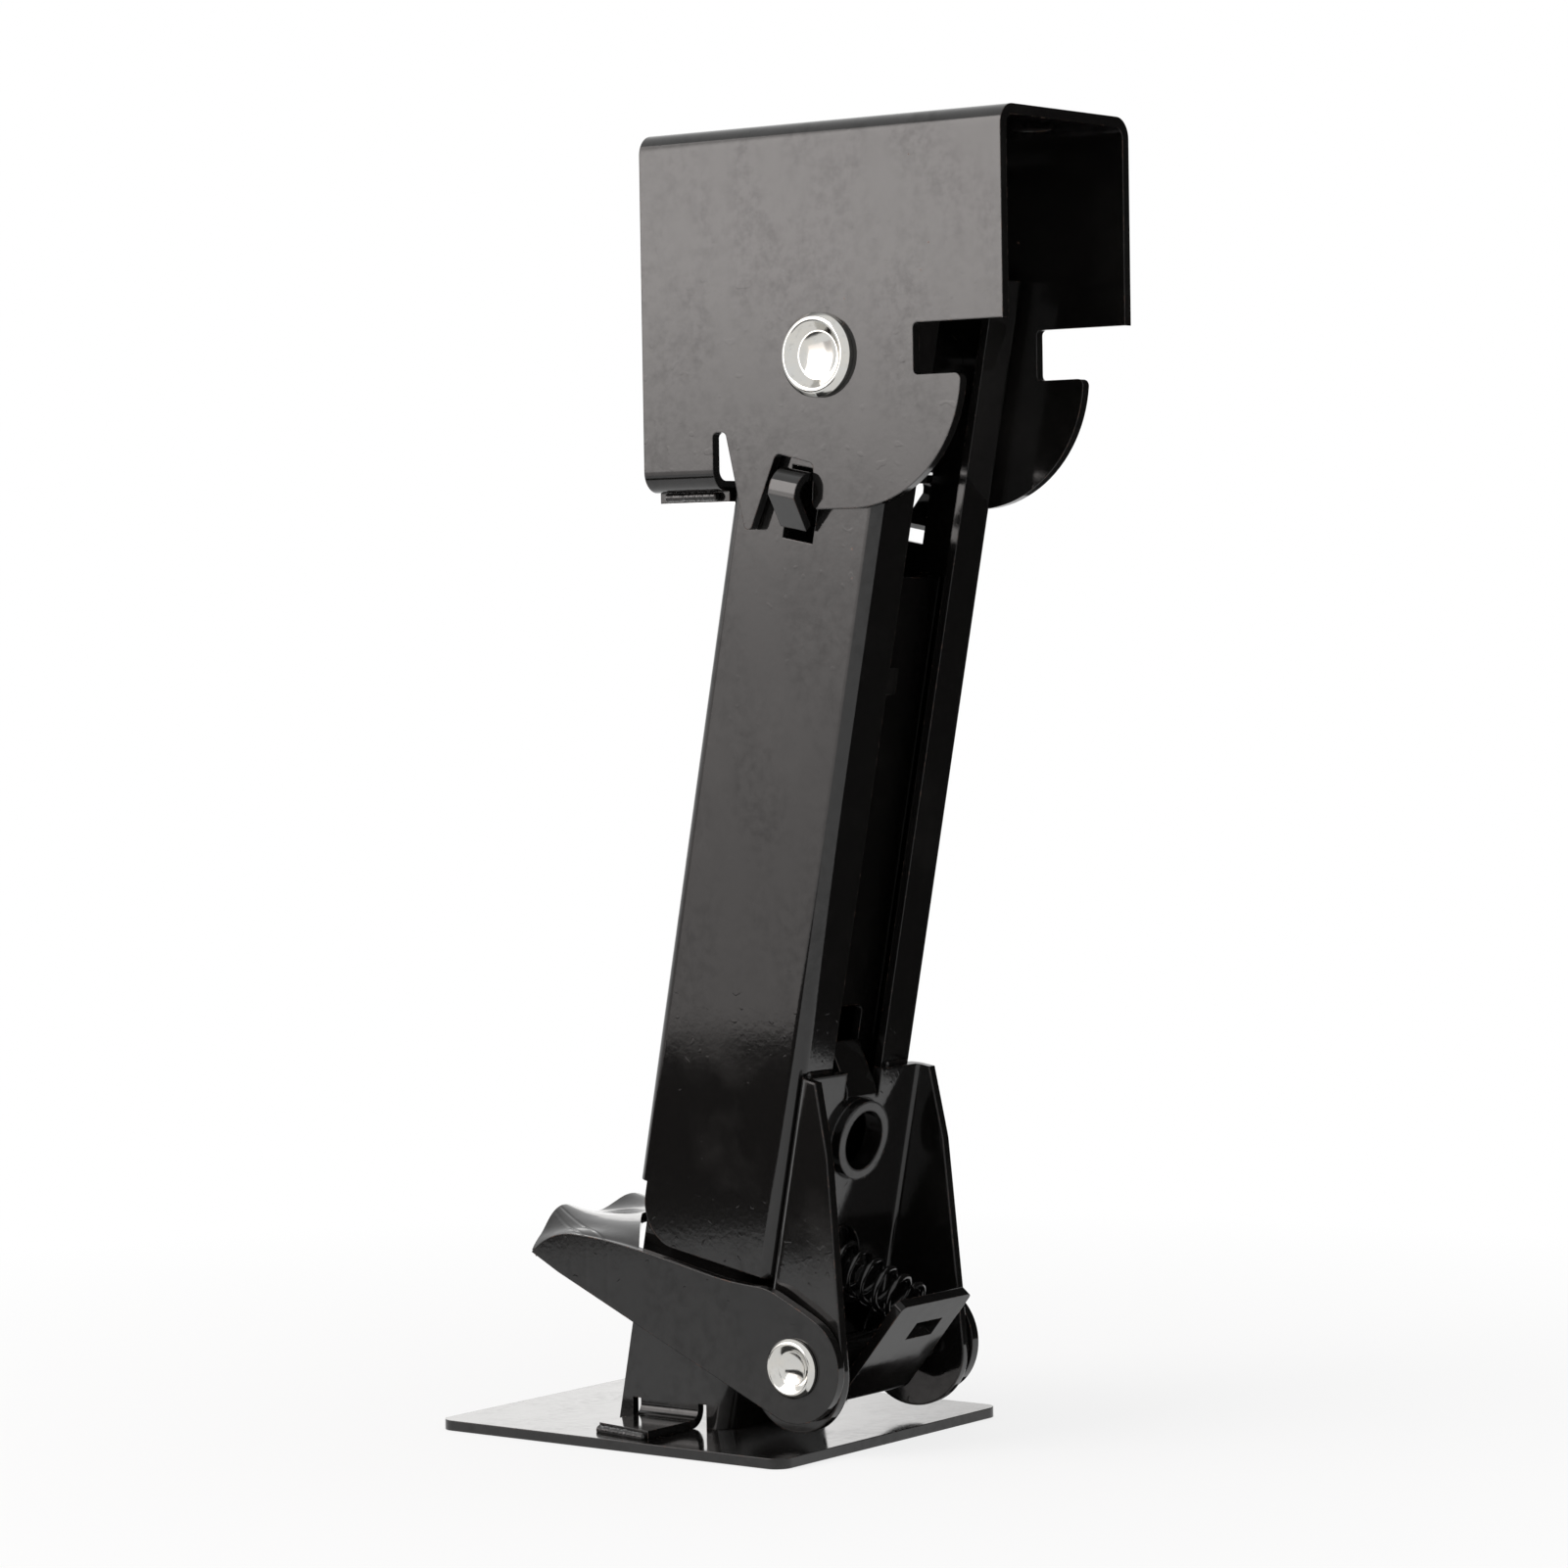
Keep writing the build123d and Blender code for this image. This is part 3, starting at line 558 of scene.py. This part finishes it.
def rolled_rivet(name, x, z, shank, head, rim, grip, hollow):
    """A rivet along Y: one head is shaped, and a mirror makes the other."""
    side_height = 0.5 * rim
    rivet = add(
        bpy.ops.mesh.primitive_cylinder_add, name,
        vertices=rivet_sides, radius=head / 2, depth=side_height, end_fill_type="NGON",
        location=(x, -grip - side_height / 2, z), rotation=(pi / 2, 0, 0),
    )
    # How far each ring goes in, as a part of the head, and up, as a part of the rim's height
    up_to_the_crown = [(0.05, 0.42), (0.03, 0.08)]
    down_into_the_dish = [(0.03, -0.08), (0.1, -0.75)]
    tool_mark = [(0.008, 0.03), (0.012, -0.03)]
    pointed_hollow = [(0.25, -hollow / rim)]
    bpy.ops.object.mode_set(mode="EDIT")
    pick(rivet, lambda face: face.normal.y < -0.9)
    for width, climb in up_to_the_crown + down_into_the_dish + tool_mark + pointed_hollow:
        bpy.ops.mesh.inset(thickness=width * head, depth=climb * rim)
    bpy.ops.mesh.merge(type="CENTER")
    pick(rivet, lambda face: face.normal.y > 0.9)
    bpy.ops.mesh.inset(thickness=(head - shank) / 2)
    bpy.ops.mesh.extrude_region_move(TRANSFORM_OT_translate={"value": (0, grip, 0)})
    bpy.ops.mesh.delete(type="FACE")
    bpy.ops.object.mode_set(mode="OBJECT")
    rounding = {"width": rim_round * head, "segments": rim_steps, "angle_limit": rim_angle}
    finish_with(rivet, "BEVEL", limit_method="ANGLE", **rounding)
    finish_with(rivet, "MIRROR", use_axis=(False, True, False), merge_threshold=1e-5)
    return rivet


pivot_rivet = rolled_rivet(
    "rolled_pivot_rivet", pivot.x, pivot.z, shank=0.012, head=0.024, rim=0.0035, grip=0.032, hollow=0.0026,
)
pin = Vector((0.054147, 0.0, 0.02539))
pin_rivet = rolled_rivet(
    "rolled_pin_rivet", pin.x, pin.z, shank=0.009, head=0.0172, rim=0.002, grip=0.03484, hollow=0.0031,
)
dress(pivot_rivet, zinc, "zinc_plate", "bracket", "pivot_rivet")
dress(pin_rivet, zinc, "zinc_plate", "leg", "pin_rivet")

# %% [markdown]
# ## Weld beads
# A hand-laid bead is a row of small pools, each frozen over the edge of the last. Modelling every
# ripple would take long, so one pool is made from a sphere and copied along the seam, each copy a
# little different, and a voxel remesh melts the row into one skin. The black paint covers them.

# %% Lay a weld bead
weld_hand = random.Random(11)
pool_pitch = 0.00085
pool_length = 0.0019
smallest_pool = 0.86
unsteadiness = 0.00012
skin_voxel = 0.00024


def weld_bead(name, start, end, width, height):
    """A row of pools from start to end, melted together."""
    run = end - start
    across = Vector((0, 0, 1)).cross(run).normalized()
    pools = round(run.length / pool_pitch)
    row = []
    for step in range(pools + 1):
        wobble = [weld_hand.uniform(smallest_pool, 1.0) for _ in range(3)]
        middle = start.lerp(end, step / pools) + across * weld_hand.uniform(-unsteadiness, unsteadiness)
        pool = add(
            bpy.ops.mesh.primitive_uv_sphere_add, name, segments=18, ring_count=9, radius=0.5,
            location=middle, rotation=(0, 0, run.to_2d().angle_signed(Vector((1, 0)), 0.0)),
            scale=(pool_length * wobble[0], width * wobble[1], height * wobble[2]),
        )
        row.append(pool)
    bead = joined(name, row)
    finish_with(bead, "REMESH", mode="VOXEL", voxel_size=skin_voxel)
    finish_with(bead, "SMOOTH", factor=0.5, iterations=2)
    return bead


def both_sides(start, end):
    """The same seam on the near and on the far side."""
    seams = []
    for side in (-1, 1):
        seams.append([Vector((point.x, side * point.y, point.z)) for point in (start, end)])
    return seams


# %% [markdown]
# ## The jack's seams
# The toes of the inner leg are welded to the foot plate along their edges, the carrier is welded to
# the outer leg along its top, and one short bead joins the two layers of the bracket's lapped floor.
# The first two seams are the same on both sides of the jack, so each pair is one piece.

# %% Foot, carrier and floor seams
toe_seam = both_sides(Vector((-0.0090, 0.0450, 0.0036)), Vector((0.0101, 0.0487, 0.0036)))
foot_beads = [weld_bead("foot_bead", *ends, width=0.0031, height=0.0030) for ends in toe_seam]
dress(joined("foot_weld_beads", foot_beads), gloss_black, "black_paint", "foot", "foot_welds")

web_seam = both_sides(*[leg_place @ Vector((0.0256, aside, -0.2039)) for aside in (0.0148, 0.0232)])
web_beads = [weld_bead("web_bead", *ends, width=0.0022, height=0.0022) for ends in web_seam]
dress(joined("carrier_weld_beads", web_beads), gloss_black, "black_paint", "leg", "carrier_welds")

lap_seam = [Vector((x, -0.0260, 0.2746)) for x in (0.0070, 0.0244)]
lap_bead = weld_bead("flange_weld_bead", *lap_seam, width=0.0028, height=0.0028)
dress(lap_bead, gloss_black, "black_paint", "bracket", "flange_weld")

# %% [markdown]
# ## A white room
# The jack stands in a white room on a white floor. More light would make them white, but would
# wash out the jack. So the world and the floor glow at full strength only for what the camera sees,
# also in a mirror or through glass, and light the jack more softly. Near the jack a little of the
# floor's own shading is left, which is the faint shadow that it stands on.

# %% World and floor
white = (1.0, 1.0, 1.0, 1.0)
room_light = 0.55
floor_gap = 0.0002
floor_radius = 6.0
shadow_share = 0.2

world = bpy.data.worlds.new("white_room")
bpy.context.scene.world = world
room = Graph(world)
light_and_looks = {"Value": room.looked_at(), "To Min": room_light, "To Max": 1.0}
brightness = room.node("ShaderNodeMapRange", {}, light_and_looks)
walls = room.node("ShaderNodeBackground", {}, {"Color": white, "Strength": brightness})
room.end(walls, "ShaderNodeOutputWorld")

bpy.ops.object.select_all(action="DESELECT")
under_jack = (0, 0, -floor_gap)
bpy.ops.mesh.primitive_circle_add(vertices=96, radius=floor_radius, fill_type="NGON", location=under_jack)
floor = bpy.context.object
floor.name = "studio_floor"
pale = Finish("pale_floor")
shade = pale.blend(pale.noise(0.25, detail=2.0), (0.82, 0.82, 0.82, 1), (0.86, 0.86, 0.86, 1))
matt = pale.node("ShaderNodeBsdfDiffuse", {}, {"Color": shade})
away = pale.measure("LENGTH", pale.place()).between(0.12, 0.5)
glow_share = away * shadow_share + (1 - shadow_share)
glow = pale.emission(white, 1.0)
seen_floor = pale.node("ShaderNodeMixShader", {}, {"Fac": glow_share, 1: matt, 2: glow})
both = pale.node("ShaderNodeMixShader", {}, {"Fac": pale.looked_at(), 1: matt, 2: seen_floor})
floor.data.materials.append(pale.end(both))
print(f"a floor {floor.dimensions.x:.0f} m across")

# %% [markdown]
# ## What the black paint mirrors
# Gloss black shows nothing but its surroundings, so a studio for it is a set of reflections. A
# lamp would leave a small hard spot, and a panel leaves a broad even sheen. Each panel stands
# upright, faces the jack and is hidden from the camera, so it never stands in the way of a view.

# %% Panels around the jack
jack_middle = Vector((0.05, 0.0, 0.22))
to_camera = Vector((camera_place.x, camera_place.y, 0)).normalized()
mirror_side = Vector((-to_camera.x, to_camera.y, 0))


def panel(name, direction, distance, height, size, material):
    """An upright rectangle at a height, this far from the jack in a direction, that faces the jack."""
    middle = jack_middle + direction * distance
    middle.z = height
    facing = (Vector((jack_middle.x, jack_middle.y, height)) - middle).normalized()
    turn = facing.to_track_quat("Z", "Y").to_matrix().to_4x4()
    bpy.ops.object.select_all(action="DESELECT")
    bpy.ops.mesh.primitive_plane_add(size=1.0)
    made = bpy.context.object
    made.name = name
    made.data.transform(Matrix.Translation(middle) @ turn @ Matrix.Diagonal((*size, 1.0, 1.0)))
    made.data.materials.append(material)
    made.visible_camera = False
    print(f"{name}: {size[0]:.2f} by {size[1]:.2f} m, {distance:.2f} m from the jack")
    return made


# %% [markdown]
# ## The softbox
# The near sides mirror a large soft light. It stands where the camera's line of sight goes after it
# has bounced off them. The sheen is bright on the bracket and falls off down the leg, so the light
# grows stronger with its height, slowly at first and then fast, as the cube of the height does. A
# step in it sets the bracket off from the leg. One side of it is at half power, which shades the
# sheen towards one edge of what mirrors it.

# %% Softbox
softbox_colour = (1.0, 0.95, 0.93, 1.0)
softbox_distance = 1.25
softbox_low, softbox_high = 0.0, 1.5
softbox_width = 1.3
softbox_side = Vector((0, 0, 1)).cross(mirror_side)
foot_power, step_power, top_power = 1.45, 0.75, 7.2
highest_rise = 0.79
dim_share = 0.5

cloth = Finish("softbox_cloth")
height = cloth.node("ShaderNodeSeparateXYZ", {}, {"Vector": cloth.place()}, out="Z")
rise = height.between(-0.05, 0.55).maths("MINIMUM", highest_rise)
step = height.between(0.265, 0.345)
aside = cloth.along(softbox_side) - jack_middle.dot(softbox_side)
fade = aside.between(-0.2, -0.06) * dim_share + (1 - dim_share)
power = (rise * rise * rise * top_power + step * step_power + foot_power) * fade
softbox_cloth = cloth.end(cloth.emission(softbox_colour, power))

softbox_size = (softbox_width, softbox_high - softbox_low)
softbox_height = (softbox_low + softbox_high) / 2
panel("softbox", mirror_side, softbox_distance, softbox_height, softbox_size, softbox_cloth)

# %% [markdown]
# ## Black cards
# The faces that look to the right mirror a black card, as photographers put there to keep black
# paint black. A low card in front of the softbox's foot darkens the bottom of the leg. Neither card
# casts a shadow or takes light from the jack.

# %% Cards
card_black = Finish("black_card").surface(Base_Color=(0.004, 0.004, 0.004, 1.0), Roughness=1.0)
card_direction = Vector((0.56, 0.83, 0.0)).normalized()
low_card_top = 0.078
cards = [
    panel("black_card", card_direction, distance=0.33, height=0.4, size=(0.8, 0.8), material=card_black),
    panel(
        "low_card", mirror_side, distance=0.5, height=low_card_top / 2, size=(0.7, low_card_top),
        material=card_black,
    ),
]
for card in cards:
    card.visible_diffuse = False
    card.visible_shadow = False
    card.visible_transmission = False

# %% [markdown]
# ## A light behind for the foot plate
# The foot plate is seen almost along its top, where even black paint is half a mirror, and in the
# photograph it mirrors a bright wall behind the jack. A long low softbox there does that. It is
# brighter on one side, as the plate is.

# %% Back light
back_colour = (1.0, 0.99, 0.98, 1.0)
back_direction = Vector((-to_camera.x, -to_camera.y, 0))
back_distance = 1.1
back_height = 0.24
back_size = (1.3, 0.3)
dim_power, extra_power = 1.2, 0.5

back_cloth = Finish("back_cloth")
back_side = Vector((0, 0, 1)).cross(back_direction)
back_middle = (jack_middle + back_direction * back_distance).dot(back_side)
bright = (back_cloth.along(back_side) - back_middle).between(-0.08, 0.02)
back_glow = back_cloth.emission(back_colour, bright * extra_power + dim_power)
back_material = back_cloth.end(back_glow)
back_light = panel("back_light", back_direction, back_distance, back_height, back_size, back_material)
back_light.visible_diffuse = False

# %% [markdown]
# ## Colour management
# Standard shows a colour as it was written.

# %% Finish
bpy.context.scene.view_settings.view_transform = "Standard"
